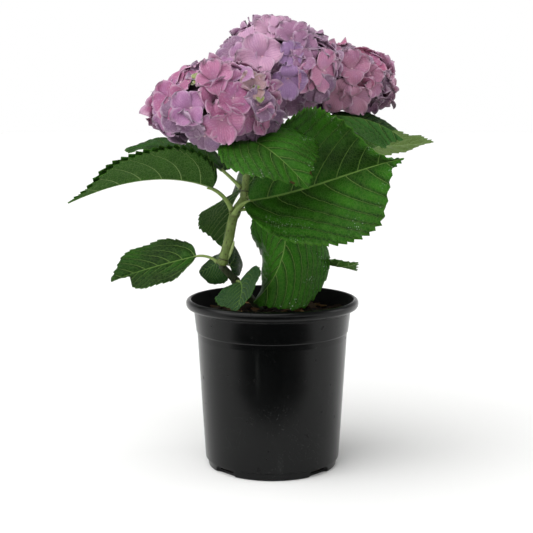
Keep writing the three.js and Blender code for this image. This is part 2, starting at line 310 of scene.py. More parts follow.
cameraData = bpy.data.cameras.new("viewer")
cameraData.sensor_fit = "HORIZONTAL"
cameraData.sensor_width = viewer["sensor"]
cameraData.lens = viewer["lens"]
camera = addToScene("viewer", cameraData)
camera.location = (0, -viewer["distance"], viewer["height"])
camera.rotation_euler = (radians(90 - viewer["pitch"]), 0, viewer["turn"])
bpy.context.scene.camera = camera
bpy.context.scene.view_settings.view_transform = "Standard"

for lampName, (lampPlace, aim, lampSize, watts) in lamps.items():
    lampData = bpy.data.lights.new(lampName, "AREA")
    lampData.energy, lampData.size = watts, lampSize
    lamp = addToScene(lampName, lampData)
    lamp.location = lampPlace
    lamp.rotation_euler = (Vector(aim) - Vector(lampPlace)).to_track_quat("-Z", "Y").to_euler()


def lightRoom():
    # A pale horizon, a dim upper room and one large soft light above the viewer's left.
    world = bpy.data.worlds.new("paleRoom")
    bpy.context.scene.world = world
    world.use_nodes = True
    sky = Nodes(world.node_tree)
    background = sky.tree.nodes["Background"]
    direction = sky.out(sky.node("TexCoord"), "Generated")
    height = sky.out(sky.node("SeparateXYZ", None, {0: direction}), 2)
    pair = {0: direction, 1: Vector(room["key"]).normalized()}
    aim = sky.out(sky.node("VectorMath", {"operation": "DOT_PRODUCT"}, pair), "Value")
    key = aim.ramp(*room["keySize"]) * room["keyLight"]
    pale = height.ramp(*room["horizonTop"]) * (room["horizon"] - room["shade"]) + room["shade"]
    sky.put(background.inputs["Color"], (1, 1, 1, 1))
    sky.put(background.inputs["Strength"], key + pale)


lightRoom()


def layFloor():
    # A wide round sheet of paper, grown ring by ring from under the pot.
    deselectAll()
    radius = stageSizes["inner"]
    bpy.ops.mesh.primitive_circle_add(vertices=stageSizes["sides"], radius=radius, fill_type="NGON")
    sheet = bpy.context.object
    sheet.name = "paperFloor"
    bpy.ops.object.mode_set(mode="EDIT")
    bpy.ops.mesh.select_all(action="SELECT")
    growth = (stageSizes["outer"] / radius) ** (1 / stageSizes["rings"])
    for ring in range(stageSizes["rings"]):
        bpy.ops.mesh.select_mode(type="EDGE")
        bpy.ops.mesh.region_to_loop()
        bpy.ops.mesh.extrude_edges_move()
        bpy.ops.transform.resize(value=(growth, growth, 1))
        bpy.ops.mesh.select_all(action="SELECT")
    bpy.ops.mesh.normals_make_consistent(inside=False)
    bpy.ops.object.mode_set(mode="OBJECT")
    paper = Finish("paper", Roughness=0.95, Specular_IOR_Level=0.1)
    grain = paper.noise(900, 2)
    colour = paper.coats(stageSizes["paper"], (grain * 0.1, stageSizes["grain"]))
    wear(sheet, paper.paint(colour, None, grain, 0.0002, 0.2))


def layFlag():
    # A dark card before the pot, out of the camera's sight: only the gloss of the plastic shows it.
    deselectAll()
    near, far, half = stageSizes["flagNear"], stageSizes["flagFar"], stageSizes["flagHalf"]
    bpy.ops.mesh.primitive_grid_add(x_subdivisions=4, y_subdivisions=6, size=1,
                                    location=(0, (near + far) / 2, stageSizes["flagHeight"]))
    flag = bpy.context.object
    flag.name = "darkFlag"
    flag.scale = (2 * half, near - far, 1)
    bpy.ops.object.transform_apply(location=True, rotation=True, scale=True)
    card = Finish("flagCard", Roughness=0.9, Specular_IOR_Level=0.0)
    first, second = stageSizes["flag"]
    wear(flag, card.paint(card.coats(first, (card.noise(60), second))))
    for ray in ("camera", "diffuse", "shadow", "transmission", "volume_scatter"):
        setattr(flag, "visible_" + ray, False)


layFloor()
layFlag()
print("floor, lamps and camera")


class Limb:
    # A smooth run through points, read by its share of the length.
    def __init__(self, through, radius):
        points = [np.array(p, float) for p in through]
        self.radius = radius
        dense = []
        for i in range(len(points) - 1):
            before = points[i - 1] if i else 2 * points[0] - points[1]
            after = points[i + 2] if i + 2 < len(points) else 2 * points[-1] - points[-2]
            dense += self.span(before, points[i], points[i + 1], after)
        self.dense = np.array(dense + [points[-1]])
        steps = np.linalg.norm(np.diff(self.dense, axis=0), axis=1)
        self.run = np.concatenate([[0], np.cumsum(steps)])
        self.length = self.run[-1]

    @staticmethod
    def span(p0, p1, p2, p3, count=60):
        d0, d1, d2 = (max(np.linalg.norm(b - a) ** 0.5, 1e-4) for a, b in ((p0, p1), (p1, p2), (p2, p3)))
        t1 = ((p1 - p0) / d0 - (p2 - p0) / (d0 + d1) + (p2 - p1) / d1) * d1
        t2 = ((p2 - p1) / d1 - (p3 - p1) / (d1 + d2) + (p3 - p2) / d2) * d1
        c2, c3 = -3 * p1 + 3 * p2 - 2 * t1 - t2, 2 * p1 - 2 * p2 + t1 + t2
        return [p1 + t1 * t + c2 * t * t + c3 * t ** 3 for t in np.arange(count) / count]

    def at(self, share):
        return np.array([np.interp(share * self.length, self.run, self.dense[:, k]) for k in range(3)])

    def tangent(self, share):
        return unit(self.at(min(1, share + 0.005)) - self.at(max(0, share - 0.005)))

    def thickness(self, share):
        return lerp(self.radius[0], self.radius[1], share)


limbs = {
    "trunk": Limb([(-8, 22, 141), (-28, 1, 170), (-49, -12.6, 195.5)], (3.7, 3.2)),
    "stem": Limb([(-48, -12, 194), (-41, -12, 219), (-35.5, -10, 243), (-26, -6, 259), (-24, -3, 277),
                  (-21, 0, 292)], (4.6, 4.0)),
    "leftBough": Limb([(-21, 0, 288), (-23, -1, 303), (-34, -27, 320), (-45, -51, 331)], (3.8, 3.2)),
    "middleBough": Limb([(-21, 0, 288), (-15, 5, 304), (-6, 12, 322), (2, 21, 355)], (3.8, 3.2)),
    "rightBough": Limb([(-21, 1, 288), (-2, 14, 302), (28, 42, 318), (65, 84, 350)], (3.6, 3.1)),
}
# shares where leaves leave a limb: a swelling, with a dark scar ring just above it
joints = {"stem": (0.045, 0.50, 0.70, 0.92), "trunk": (0.7,), "leftBough": (), "middleBough": (0.38,),
          "rightBough": (0.15, 0.46, 0.63)}
bark = {
    "sides": 40, "step": 0.8, "swelling": 0.9, "swellingSpan": 3.2, "relief": 0.22,
    "scarAbove": 2.4, "scarSpan": 0.7, "scarDepth": 0.3, "endRound": 3.0,
    "green": {"base": "56692F", "pale": "74874A", "fleck": "3A301E", "scar": "2A2117"},
    "old": {"base": "2E3824", "pale": "434A31", "fleck": "1E1A10", "scar": "17130D"},
    "bud": {"base": "7A8E52", "pale": "93A469", "fleck": "3A301E", "scar": "2A2117"},
}


def limbTube(name, roughness):
    # A limb's tube with its swellings and the relief of its bark, and the strength of each scar ring.
    limb = limbs[name]
    count = int(limb.length / bark["step"])
    shares = [i / count for i in range(count + 1)]
    away = [[(s - joint) * limb.length for joint in joints[name]] for s in shares]
    swellings = [sum(bark["swelling"] * bell(d, 0, bark["swellingSpan"]) for d in row) for row in away]
    rings = [max([bell(d, bark["scarAbove"], bark["scarSpan"]) for d in row] + [0]) for row in away]
    centres = [limb.at(s) for s in shares]

    def radiusAt(i, out):
        rounded = max(0, 1 - min(shares[i], 1 - shares[i]) * limb.length / bark["endRound"])
        spot = centres[i] + out * 5
        ridge = noise.noise(Vector((spot[0] * 0.9, spot[1] * 0.9, spot[2] * 0.16)))
        grain = noise.noise(Vector((spot[0] * 1.9, spot[1] * 1.9, spot[2] * 0.9)))
        relief = bark["relief"] * (ridge + 0.6 * grain) * roughness - bark["scarDepth"] * rings[i]
        return (limb.thickness(shares[i]) + swellings[i] + relief) * sqrt(1.04 - rounded * rounded)

    points, faces = tube(centres, radiusAt, bark["sides"])
    return points, faces, [ring for ring in rings for _ in range(bark["sides"])]


def barkFinish(name, tones, grainy):
    finish = Finish(name, Roughness=0.55, Specular_IOR_Level=0.25)
    long = finish.noise(160, 4, 0.6, (1, 1, 0.3))
    flecks = finish.noise(620, 2, 0.5, (1, 1, 0.6)).ramp(0.60 - 0.05 * grainy, 0.70) * 0.75
    patches = finish.noise(90, 3).ramp(0.58, 0.75) * 0.35
    colour = finish.coats(tones["base"], (long.ramp(0.35, 0.7), tones["pale"]),
                          (patches.most(flecks), tones["fleck"]),
                          (finish.value("scar").ramp(0.2, 0.9) * 0.9, tones["scar"]))
    rough = long * 0.25 + 0.42 + flecks * 0.2
    return finish.paint(colour, rough, long * 0.6 + finish.noise(1500, 2) * 0.3, 0.0006, 0.7)


def growLimbs(pieceName, names, finish, roughness, slotName, node):
    heap = Heap()
    for name in names:
        points, faces, scar = limbTube(name, roughness)
        heap.add(points, faces, values={"scar": scar})
    dress(heap.make(pieceName, [finish]), slotName, node)


growLimbs("barkStem", ("stem", "leftBough", "middleBough", "rightBough"),
          barkFinish("greenBark", bark["green"], 1), 1.0, "green_stem", "stem")
growLimbs("barkTrunk", ("trunk",), barkFinish("oldBark", bark["old"], 2), 2.0, "old_wood", "trunk")

# limb, share along it, heading, rise, length, radius, how far its tip bends up and how dark the tip is
buds = {
    "low": ("stem", 0.06, -20, 62, 20, 1.9, 16, 0.2),
    "middle": ("stem", 0.53, -25, 8, 13, 2.1, 30, 1),
    "high": ("stem", 0.94, 200, 30, 8, 1.6, 30, 1),
}
budForm = {"steps": 14, "sides": 16, "sink": 0.4, "foot": 0.45, "belly": 1.1, "least": 0.05, "seam": 0.16}


def growBuds():
    # Side buds in the corners between stalk and stem: each a spindle of two folded scales.
    heap, f = Heap(), budForm
    steps = f["steps"]
    for on, share, heading, rise, length, radius, bend, dark in buds.values():
        limb, turn, climb = limbs[on], radians(heading), radians(rise)
        at = limb.at(share) + pointing(turn, 0) * (limb.thickness(share) - f["sink"])
        centres = []
        for i in range(steps + 1):
            centres.append(at)
            at = at + pointing(turn, climb + radians(bend) * i / steps) * length / steps

        def radiusAt(i, out):
            s = i / steps
            seam = 1 - f["seam"] * abs(out[0] * sin(turn) - out[1] * cos(turn)) ** 6
            return radius * max(f["least"], (f["foot"] + f["belly"] * s) * sqrt(1 - s) * 1.1) * seam

        points, faces = tube(centres, radiusAt, f["sides"])
        tip = [smooth(0.55, 0.95, (i // f["sides"]) / steps) * dark for i in range(len(points))]
        heap.add(points, faces, values={"scar": tip})
    dress(heap.make("sideBuds", [barkFinish("budScales", bark["bud"], 0)]), "green_stem")


growBuds()
print("trunk, stem and buds")

# its limb, share along it, heading, rise, stalk, bend, roll, droop, sweep, twist, length, width, the two
# folds and the curl; then lightness from dark to light (partly the leaf's own green, partly painted shade:
# leaves that lie in shade behind or under the others are set darker), blue-grey bloom, how wet it is and
# how drawn its tip is
leafKeys = ("on", "at", "heading", "rise", "stalk", "bend", "roll", "droop", "sweep", "twist", "length",
            "width", "foldLeft", "foldRight", "curl", "lightness", "blue", "wet", "tip")
leafRows = {
    "leaf_upper_left": ("stem", 0.515, 222, 61, 32, -41, -17, -47, 10, -36, 148, 63, 87, 79, -4,
                        0.45, 0.1, 0, 0.6),
    "leaf_large_right": ("stem", 0.48, -12, 70, 21, -61, 34, 45, -6, 86, 167, 137, 28, 30, 18,
                         0.64, 0.0, 0.5, 0.8),
    "leaf_back_left": ("stem", 0.76, 149, 40, 26, -5, 8, -54, 2, -23, 121, 84, 10, 8, 26,
                       0.3, 0.2, 0, 0.55),
    "leaf_hanging": ("stem", 0.68, -19, 52, 38, -122, 52, 12, -70, 70, 102, 103, -23, -28, 42,
                     0.72, 0.0, 1, 0.35),
    "leaf_behind_stem": ("stem", 0.74, 112, 17, 5, -30, -29, -83, 56, 18, 75, 83, 3, 47, 9,
                         0.3, 0.1, 0, 0.2),
    "leaf_low_right": ("stem", 0.64, 40, -44, 38, 4, 41, 63, -96, -29, 111, 62, 10, 10, 15,
                       0.95, 0.0, 0, 0.55),
    "leaf_front": ("stem", 0.93, -90, 65, 32, -45, 21, -93, 43, -8, 118, 98, 14, 22, 42,
                   0.6, 0.0, 0.6, 0.35),
    "leaf_upper_right": ("rightBough", 0.15, 10, 53, 44, -33, -20, -61, -6, 50, 105, 99, -74, -32, -36,
                         0.75, 0.4, 0, 0.55),
    "leaf_back": ("middleBough", 0.38, 112, 50, 27, -12, 0, -92, 0, 0, 123, 92, 12, 12, 15,
                  0.45, 0.1, 0, 0.55),
    "leaf_back_right": ("stem", 0.91, 75, 20, 28, -9, 0, -51, 0, 0, 116, 90, 12, 12, 15,
                        0.5, 0.0, 0, 0.55),
    "leaf_pale_tip": ("rightBough", 0.46, 24, -11, 40, 8, -34, 1, -15, 11, 107, 59, 10, 10, 25,
                      1.8, 0.1, 0, 0.55),
    "leaf_far_right": ("rightBough", 0.63, 24, 12, 22, -2, 12, -32, -1, 10, 78, 50, 17, 8, 13,
                       0.2, 0.4, 0, 0.55),
    "leaf_lower_left": ("stem", 0.03, 170, 37, 22, -51, -35, 14, 25, -13, 84, 57, 19, 23, 25,
                        0.32, 0.0, 0, 0.3),
    "leaf_node_left": ("stem", 0.06, 113, 1, 6, -33, -85, 39, -2, 4, 34, 40, -23, -15, 37,
                       0.3, 0.6, 0, 0.15),
    "leaf_node_back": ("stem", 0.03, 56, -47, 6, 64, 90, -58, 50, -9, 34, 39, -11, 13, 27,
                       0.3, 0.6, 0, 0.15),
    "leaf_over_rim": ("trunk", 0.7, -78, 16, 12, -17, 30, -26, -46, -2, 53, 51, 22, 7, 1,
                      0.25, 0.8, 0, 0.3),
}
leafForm = {
    "rows": 132, "stalkRows": 20, "stalkSides": 12, "thickness": 0.5, "peak": 0.42,
    "across": (0, 0.015, 0.04, 0.08, 0.14, 0.21, 0.29, 0.38, 0.47, 0.56, 0.65, 0.73, 0.81, 0.88, 0.94, 1.0),
    "toothSpacing": 6.3, "tooth": 2.7, "quilt": 2.6, "pucker": 0.55, "wave": 2.2, "cockle": 0.8,
    "shutFold": (90, 140), "shutCalm": 0.6,
    "veins": 7.0, "veinSlope": 0.68, "veinArch": 3.3, "veinEase": 0.6, "veinShift": 0.015, "veinOffset": 0.03,
}
leafTones = {
    "dark": "071C02", "lightness": "29630B", "pale": "6F8A46", "blue": "2C4E34", "vein": "6E9046",
    "margin": "4A7C1E", "burnt": "3A2C16", "under": "3D6C1E", "underDark": "264C14", "underVein": "8AA763",
    # the pale drop tone is a painted glint on water drops
    "stalk": "6B8240", "stalkPale": "869A56", "dropGlint": "B9CDB4",
}
# a torn or narrow stretch: side, from and to along the blade, the share of the half blade that is left
# there and how slowly it comes back
bites = {
    "leaf_lower_left": (1, 0.765, 0.97, 0.22, 0.03), "leaf_large_right": (-1, 0.885, 0.905, 0.8, 0.03),
    "leaf_front": (-1, -0.1, 0.22, 0.55, 0.35),
}
# how far a half blade's base reaches back past the stalk, as a share of its width
plainLobe, lobes = 0.28, {("leaf_upper_left", -1): 0.8}


def turnFrame(a, b, angle):
    c, s = cos(angle), sin(angle)
    return a * c + b * s, b * c - a * s


def bladeShare(u, drawn):
    # Half width along the blade: an egg with its peak before the middle and a drawn-out tip.
    def egg(s):
        return s ** 0.6 * (1 - s) ** 0.83
    return egg(u) / egg(leafForm["peak"]) * (1 - drawn * smooth(0.72, 0.95, u))


def leafFrames(leaf):
    # Place and directions along the stalk and then the blade, and the stalk's radius.
    limb = limbs[leaf["on"]]
    axis = limb.tangent(leaf["at"])
    stalkRadius = 0.8 + 0.01 * leaf["length"]
    heading, rise = radians(leaf["heading"]), radians(leaf["rise"])
    along = pointing(heading, rise)
    side = np.array((-sin(heading), cos(heading), 0))
    up = np.cross(along, side)
    outward = along - axis * np.dot(along, axis)
    lean = np.linalg.norm(outward)
    reach = limb.thickness(leaf["at"]) + 0.3 + stalkRadius * sqrt(max(0, 1 - lean * lean))
    at = limb.at(leaf["at"]) + outward / lean * reach
    stalk, blade = [(at, along, side, up)], []
    rows = leafForm["stalkRows"]
    half = radians(leaf["bend"]) / rows / 2
    for i in range(rows):
        along, up = turnFrame(along, up, half)
        at = at + along * leaf["stalk"] / rows
        along, up = turnFrame(along, up, half)
        stalk.append((at, along, side, up))
    side, up = turnFrame(side, up, radians(leaf["roll"]))
    blade.append((at, along, side, up))
    rows = leafForm["rows"]
    droop, sweep, twist = (radians(leaf[k]) / rows / 2 for k in ("droop", "sweep", "twist"))
    for i in range(rows):
        for part in (0, 1):
            along, up = turnFrame(along, up, droop)
            along, side = turnFrame(along, side, sweep)
            side, up = turnFrame(side, up, twist)
            if part == 0:
                at = at + along * leaf["length"] / rows
        blade.append((at, along, side, up))
    return stalk, blade, stalkRadius


def veinPhase(u, distance, sign):
    # Counts the side veins: each lies on a whole number.
    f = leafForm
    run = (f["veinSlope"] + f["veinArch"] * distance) * distance * lerp(f["veinEase"], 1, smooth(0, 0.5, u))
    return (u - run + f["veinShift"] + f["veinOffset"] * sign) * f["veins"]


def bladePoint(leaf, frameHere, u, across, raised, seed, key):
    at, along, side, up = frameHere
    f = leafForm
    share = bladeShare(u, leaf["tip"])
    sign = 1 if across > 0 else -1
    width = abs(across)
    size = min(1.2, leaf["length"] / 120)
    # a leaf folded nearly shut swells less, so that its halves stay apart
    shut = smooth(f["shutFold"][0], f["shutFold"][1], leaf["foldLeft"] + leaf["foldRight"])
    swelling = size * (1 - f["shutCalm"] * shut)
    distance = width * share * leaf["width"] / 2
    # teeth point to the tip and stand on the margin only
    teeth = leaf["length"] / f["toothSpacing"] / min(1, 0.5 + leaf["length"] / 200)
    count = u * teeth + 0.37 * sign + 0.2 * sin(9 * u + seed)
    step = count % 1
    tooth = f["tooth"] * size * (0.7 + 0.6 * chance(int(count), seed)) * (step ** 1.2 - 0.35)
    tooth *= smooth(0.7, 1, width) * smooth(0.03, 0.12, u) * (1 - smooth(0.95, 1, u))
    distance = max(0, distance + tooth)
    biteSide, start, end, left, ease = bites.get(key, (0, 0, 0, 0, 0))
    if biteSide == sign:
        torn = smooth(start - 0.006, start + 0.006, u) * (1 - smooth(end - 0.01, end + ease, u))
        distance *= 1 - (1 - left) * torn * smooth(0, 0.3, width)
    fold = radians(leaf["foldLeft"] if sign > 0 else leaf["foldRight"])
    bend = radians(leaf["curl"] or 0.01) / (leaf["width"] / 2)
    angle = fold - bend * distance
    out = (sin(fold) - sin(angle)) / bend
    rise = (cos(angle) - cos(fold)) / bend
    lobe = lobes.get((key, sign), plainLobe)
    forward = distance * (0.25 * u - lobe * (1 - u) ** 3) + max(0, tooth) * 0.6
    # the blade swells between the sunk side veins, puckers between the fine ones, and its margin waves
    swell = abs(sin(pi * veinPhase(u, distance / leaf["length"], sign))) ** 0.7 - 0.5
    inner = smooth(0, 0.18, width) * (1 - 0.7 * smooth(0.7, 1, width)) * min(1, share * 1.6)
    pucker = noise.noise(Vector((u * leaf["length"] / 5, across * 7, seed * 3.7)))
    wave = sin(2 * pi * (2.6 * u + 0.21 * seed + 0.3 * sign)) * width ** 2.4
    cockle = noise.noise(Vector((u * 6, across * 2.0, seed * 3.7))) * width
    raised += swelling * ((f["quilt"] * swell + f["pucker"] * pucker) * inner
                          + f["wave"] * wave * share + f["cockle"] * cockle)
    return (at + side * sign * (out - raised * sin(angle)) + up * (rise + raised * cos(angle))
            + along * forward)


def leafPiece(key, seed):
    leaf = dict(zip(leafKeys, leafRows[key]))
    f = leafForm
    stalk, blade, stalkRadius = leafFrames(leaf)
    across = [-a for a in reversed(f["across"][1:])] + list(f["across"])
    size = min(1, leaf["length"] / 150)
    shares = [max(0.004, min(0.996, i / f["rows"])) for i in range(f["rows"] + 1)]
    heap, points, bladeMap, marginMap, burnt, deep = Heap(), [], [], [], [], []
    for face in (1, -1):
        for i, u in enumerate(shares):
            for a in across:
                d = abs(a) * bladeShare(u, leaf["tip"]) * leaf["width"] / 2
                rib = bell(d, 0, 0.5 + 1.5 * (1 - u))
                depth = -0.7 * (1 - u) * rib if face > 0 else -stalkRadius * (1 - 0.85 * u) * rib
                points.append(bladePoint(leaf, blade[i], u, a, face * f["thickness"] / 2 + depth, seed, key))
                bladeMap.append((u, (d if a > 0 else -d) / leaf["length"]))
                marginMap.append((a, size))
                burnt.append(smooth(0.7, 1, abs(a)) * smooth(0.68, 0.95, u) if key == "leaf_front" else 0)
                # painted shade: a darker band over one half of the large right leaf, from about a third of
                # its length out to the tip
                deep.append(smooth(0.3, 0.55, u) * bell(a, 0.3, 0.34) if key == "leaf_large_right" else 0)

    def values(burnt, deep):
        looks = {name: [leaf[name]] * len(burnt) for name in ("lightness", "blue", "wet")}
        return dict(looks, burnt=burnt, deep=deep)

    faces, finishOf = sheetFaces(f["rows"], len(across))
    heap.add(points, faces, finishOf, {"bladeMap": bladeMap, "marginMap": marginMap}, values(burnt, deep))
    # the stalk is a grooved rod that flares over the stem and runs on into the midrib
    midrib = blade[4][0] - 0.6 * stalkRadius * blade[4][3]
    run = [stalk[0][0] - 1.6 * stalk[0][1]] + [s[0] for s in stalk] + [midrib]
    last = len(run) - 1

    def radiusAt(i, out):
        share = i / last
        groove = 1 - 0.25 * max(0, np.dot(out, stalk[min(i, len(stalk) - 1)][3])) ** 6
        flare = 1 + 0.45 * exp(-share * 9)
        return stalkRadius * (1 - 0.25 * share) * flare * groove * (0.45 if i == last else 1)

    points, faces = tube(run, radiusAt, f["stalkSides"])
    steps = [(0, i // f["stalkSides"] / last) for i in range(len(points))]
    none = [0] * len(points)
    heap.add(points, faces, 2, {"bladeMap": [(0, 0)] * len(points), "marginMap": steps}, values(none, none))
    return heap.make("blade_" + key[5:], [leafTop, leafUnder, leafStalk])


def veinMasks(finish):
    # Masks from 0 to 1 of the side veins, the midrib and two fine nets, then the place across the blade and
    # the place between two side veins.
    f = leafForm
    u, v = finish.mapParts("bladeMap")
    across, size = finish.mapParts("marginMap")
    d = v.size()
    sign = v.ramp(-0.0005, 0.0005) * 2 - 1
    run = (d * f["veinArch"] + f["veinSlope"]) * d * (u.ramp(0, 0.5) * (1 - f["veinEase"]) + f["veinEase"])
    phase = (u - run + sign * f["veinOffset"] + f["veinShift"]) * f["veins"]
    apart = 0.5 - (phase.frac() - 0.5).size()  # 0 on a vein, 0.5 half way between two
    wide = (1.15 - across.size() * 0.6) * 0.034 / size.most(0.3)
    side = (apart / wide).ramp(1.0, 0.35) * u.ramp(0.985, 0.9) * phase.ramp(-1.2, -0.7)
    midrib = (d / ((1 - u) * 0.009 + 0.0025)).ramp(1.0, 0.6)
    net, fine = finish.cells(330).ramp(0.16, 0.02), finish.cells(950).ramp(0.2, 0.02)
    return side, midrib, net, fine, across, phase.frac()


def leafTopFinish():
    t = leafTones
    finish = Finish("leafTop", Roughness=0.4, Specular_IOR_Level=0.1)
    side, midrib, net, fine, across, panel = veinMasks(finish)
    # each leaf's lightness: partly its own green, partly painted shade on leaves that lie in shade
    lightness = (finish.value("lightness") + finish.noise(24, 3) * 1.5 - 0.75).ramp(0.0, 1.0)
    # painted shade: the blade darkens beside each side vein, more on one side than the other, as if the
    # furrows were shaded
    valleyShade = panel.ramp(0.42, 0.0).most(panel.ramp(0.82, 1.0) * 0.7)
    wet = finish.value("wet") * across.size().ramp(0.45, 0.85) * finish.noise(55, 2).ramp(0.5, 0.6)
    # water drops: the bump is the drop itself, the pale colour laid on it is a painted glint
    dropGlints = wet * finish.cells(430, "F1").ramp(0.3, 0.16)
    burnt = finish.value("burnt") * finish.noise(85, 3).ramp(0.53, 0.6)
    colour = finish.coats(
        t["dark"], (lightness, t["lightness"]), (finish.value("lightness").ramp(1.0, 2.0), t["pale"]),
        (finish.value("blue") * 0.75, t["blue"]),
        # painted shade: the furrows beside the side veins and the dark band on the large right leaf
        ((valleyShade * 0.75).most(finish.value("deep") * 0.9), t["dark"]),
        (net * 0.12 + fine * 0.04, t["vein"]), (side * 0.66, t["vein"]), (midrib * 0.85, t["vein"]),
        # painted glints on the water drops
        (across.size().ramp(0.95, 1.0) * 0.35, t["margin"]), (dropGlints * 0.75, t["dropGlint"]),
        (burnt.ramp(0.3, 0.6), t["burnt"]))
    rough = 0.34 + finish.noise(45, 3) * 0.26 + burnt * 0.2 - wet * 0.12
    height = 0.0 - side * 0.6 - net * 0.22 - fine * 0.06 + finish.noise(700, 2) * 0.05 + dropGlints * 0.8
    return finish.paint(colour, rough, height, 0.0011, 0.9)


def leafUnderFinish():
    t = leafTones
    finish = Finish("leafUnder", Roughness=0.6, Specular_IOR_Level=0.2)
    side, midrib, net, fine = veinMasks(finish)[:4]
    # each leaf's lightness: partly its own green, partly painted shade on leaves that lie in shade
    lightness = (finish.value("lightness") + finish.noise(30, 3) * 0.8 - 0.4).ramp(0.0, 1.0)
    colour = finish.coats(
        t["underDark"], (lightness, t["under"]), (finish.value("lightness").ramp(1.0, 2.0), t["pale"]),
        (net * 0.16 + fine * 0.06, t["underVein"]), (side * 0.95, t["underVein"]),
        (midrib * 0.95, t["underVein"]))
    return finish.paint(colour, 0.55 + net * 0.1, side * 0.9 + net * 0.45 + fine * 0.15, 0.0011, 0.9)


def leafStalkFinish():
    finish = Finish("leafStalk", Roughness=0.45, Specular_IOR_Level=0.3)
    run = finish.mapParts("marginMap")[1]
    long = finish.noise(220, 3, 0.5, (1, 1, 0.5))
    colour = finish.coats(leafTones["stalk"], (long, leafTones["stalkPale"]),
                          (run.ramp(0.1, 0.0) * 0.6, bark["green"]["fleck"]))
    return finish.paint(colour, long * 0.2 + 0.38, long, 0.0004, 0.5)


leafTop, leafUnder, leafStalk = leafTopFinish(), leafUnderFinish(), leafStalkFinish()
for leafNumber, leafName in enumerate(leafRows):
    dress(leafPiece(leafName, leafNumber + 1), "leaf", leafName)
print("leaves")

# front rows: shares of the reach to the right and up, spin, size, tone, tilt to the right and up
heads = {
    "bloom_left": {
        "centre": (-49.5, -57, 344.5), "reach": (56, 50, 37), "turn": 0.2, "bough": "leftBough",
        "slot": "bloom_pink", "scale": 0.92, "crown": 1.85,
        "tones": {"pink": "A05B80", "rose": "B07092", "lilac": "A6729A", "shade": "7E607A", "peach": "A88684",
                  "green": "8F9C52"},
        "dealt": ("rose", "lilac", "pink", "rose", "shade", "pink", "lilac"), "low": "shade",
        "front": (
            (-0.41, -0.09, 48, 0.98, "lilac", -0.15, 0.1), (0.13, -0.39, 12, 1.0, "rose", 0, 0),
            (-0.01, 0.62, 20, 0.9, "rose", 0, 0.4), (-0.63, 0.60, 55, 0.9, "pink", -0.3, 0.3),
            (0.49, -0.35, 62, 0.9, "rose", 0.5, -0.1), (0.83, -0.31, 70, 0.8, "rose", 0.4, 0),
            (-0.86, -0.35, 30, 0.85, "lilac", -0.6, 0), (-0.19, -0.82, 45, 0.95, "shade", 0, -0.4),
            (0.66, 0.48, 8, 0.75, "peach", 0.2, 0.3), (0.34, 0.16, 33, 0.9, "pink", 0.2, 0.2),
            (-0.31, 0.66, 15, 0.4, "green", 0, 0.3), (0.74, 0.27, 15, 0.42, "green", 0.3, 0.3),
            (0.95, -0.18, 15, 0.36, "green", 0.5, 0), (0.78, -0.60, 20, 0.85, "shade", 0.3, 0),
            (0.92, -0.36, 5, 0.95, "shade", 0, 0.2))},
    "bloom_middle": {
        "centre": (5, 25, 383.5), "reach": (62, 55, 43), "turn": 1.3, "bough": "middleBough",
        "slot": "bloom_violet", "scale": 0.93, "crown": 1.45,
        "tones": {"mauve": "A17394", "pale": "C193AF", "violet": "A17DAC", "pink": "BA7598",
                  "shade": "83607C"},
        "dealt": ("mauve", "pale", "mauve", "shade", "pale", "mauve", "shade"), "low": "shade",
        "front": (
            (-0.27, 0.13, 25, 1.25, "pale", -0.35, 0.1), (0.17, -0.39, 0, 0.92, "violet", 0.1, -0.1),
            (0.21, 0.15, 32, 0.7, "violet", 0.1, 0.2), (0.52, -0.33, 60, 0.92, "pink", 1.1, -0.1),
            (0.80, -0.19, 20, 1.08, "pink", 0.6, -0.1), (0.47, 0.35, 30, 0.85, "mauve", 0.3, 0.3),
            (-0.13, 0.80, 10, 0.9, "pale", 0, 0.1), (-0.57, 0.64, 40, 0.85, "pale", -0.3, 0.2),
            (0.25, 0.62, 15, 0.9, "mauve", 0.1, 0.3), (-0.86, 0.33, 50, 0.85, "shade", -0.5, 0.2),
            (-0.62, 0.05, 20, 0.9, "mauve", -0.3, 0), (-0.30, -0.40, 70, 0.85, "shade", -0.2, -0.1),
            (-0.07, -0.20, 15, 0.6, "shade", 0, 0), (0.40, 0.06, 50, 0.6, "mauve", 0.2, 0),
            (0.19, -0.90, 40, 1.0, "shade", 0, 0.55), (-0.08, -0.93, 10, 1.0, "shade", 0, 0.4),
            (0.42, -0.86, 70, 0.9, "mauve", 0, 0.5), (0.07, 0.84, 35, 0.78, "pale", 0.1, 0.2))},
    "bloom_right": {
        "centre": (75, 95, 370), "reach": (49, 46, 35), "turn": 2.6, "bough": "rightBough",
        "slot": "bloom_rose", "scale": 0.78, "crown": 1.8,
        "tones": {"rose": "AF5F80", "dusty": "AD738E", "pale": "CE94AF", "shade": "684056", "grey": "84697C"},
        "dealt": ("rose", "dusty", "rose", "pale", "dusty", "grey"), "low": "shade",
        "front": (
            (-0.23, -0.44, 60, 1.02, "pale", -0.2, 0), (0.13, -0.54, 25, 0.9, "pale", 0.1, -0.1),
            (0.07, 0.33, 10, 0.95, "dusty", 0, 0.2), (0.47, 0.78, 50, 0.75, "rose", 0.2, 0.3),
            (-0.01, 0.90, 30, 0.7, "grey", 0, 0.3), (0.85, -0.05, 30, 0.62, "grey", 0.6, 0),
            (0.53, -0.25, 80, 0.6, "dusty", 0.4, 0), (0.60, -0.70, 15, 0.7, "shade", 0.2, -0.6),
            (-0.45, 0.25, 0, 0.85, "rose", -0.2, 0.2))},
}
